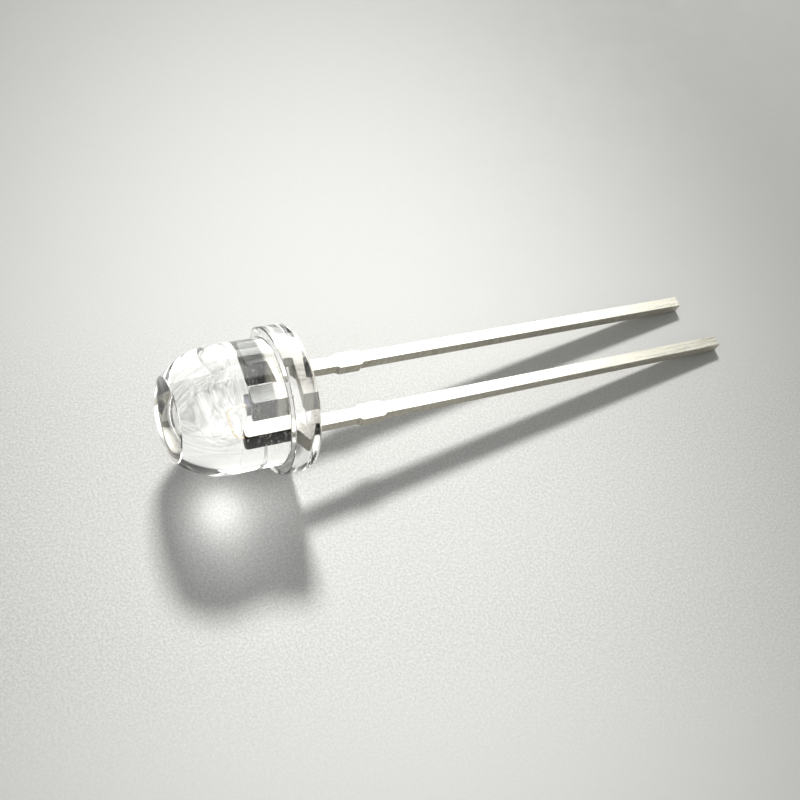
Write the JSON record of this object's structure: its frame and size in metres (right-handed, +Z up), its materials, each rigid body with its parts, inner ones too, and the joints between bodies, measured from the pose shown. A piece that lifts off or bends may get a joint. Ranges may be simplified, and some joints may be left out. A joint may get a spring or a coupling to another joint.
{
  "type": "phototransistor",
  "caption": "Clear round-nosed 5 mm phototransistor: resin lens body with a flange and flat, and two straight square tinned leads with tie-bar stubs.",
  "frame": {"origin": "on the table, under the middle of the laid-down part's box", "axes": "+X along the part from the lens nose to the lead tips as seen from above, +Z up from the table"},
  "size_m": [0.0264, 0.0054, 0.0059],
  "materials": {
    "clear_epoxy": "clear moulded resin, polished by the mould",
    "tinned_lead": "bright tin plating with a fine grain",
    "silicon": "polished silicon with a metal pad",
    "silver_paste": "cured silver-filled adhesive",
    "gold_wire": "bright gold"
  },
  "bodies": {
    "root": {"epoxy_case": "clear_epoxy", "collector_lead": "tinned_lead", "emitter_lead": "tinned_lead", "photo_die": "silicon", "die_paste": "silver_paste", "bond_wire": "gold_wire"}
  },
  "joints": []
}
